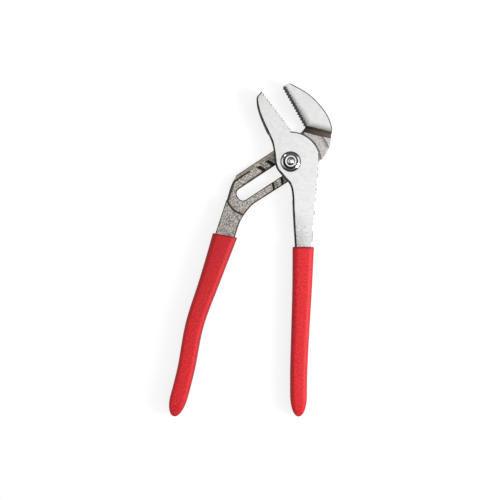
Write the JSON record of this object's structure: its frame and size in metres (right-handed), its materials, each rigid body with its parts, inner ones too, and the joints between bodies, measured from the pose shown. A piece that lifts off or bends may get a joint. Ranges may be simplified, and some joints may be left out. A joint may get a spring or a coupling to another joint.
{
  "type": "water pump pliers",
  "caption": "Water pump pliers with a tongue-and-groove joint: toothed angled jaws, a slotted bar for a sliding pivot bolt, and long handles with red dipped grips.",
  "frame": {"origin": "on the pivot axis, on the flat underside of the bolt head, which is the level that the pliers lie on", "axes": "+X to the right with the jaws up, +Y along the pliers from the handles to the jaws, +Z along the pivot axis towards the nut"},
  "size_m": [0.1219, 0.25, 0.0166],
  "materials": {
    "forged_steel": "blasted forged steel, satin on the jaw",
    "satin_steel": "satin polished steel",
    "bright_chrome": "bright plated",
    "red_vinyl": "dipped vinyl, fine grain"
  },
  "bodies": {
    "slotted_half": {"slotted_lever": "forged_steel", "slotted_lever_grip": "red_vinyl"},
    "pivot": {"pivot_bolt": "bright_chrome", "pivot_washer": "bright_chrome", "pivot_nut": "bright_chrome"},
    "tongue_half": {"tongue_lever": "satin_steel", "tongue_lever_grip": "red_vinyl"}
  },
  "joints": [
    {"name": "jaw_adjust", "type": "slide", "parent": "slotted_half", "child": "pivot", "axis": [0.8358, 0.549, 0], "range_m": [-0.039, 0.0078]},
    {"name": "jaw_pivot", "type": "hinge", "parent": "pivot", "child": "tongue_half", "pos_m": [0, 0, 0], "axis": [0, 0, 1], "range_deg": [-7.8, 52]}
  ]
}
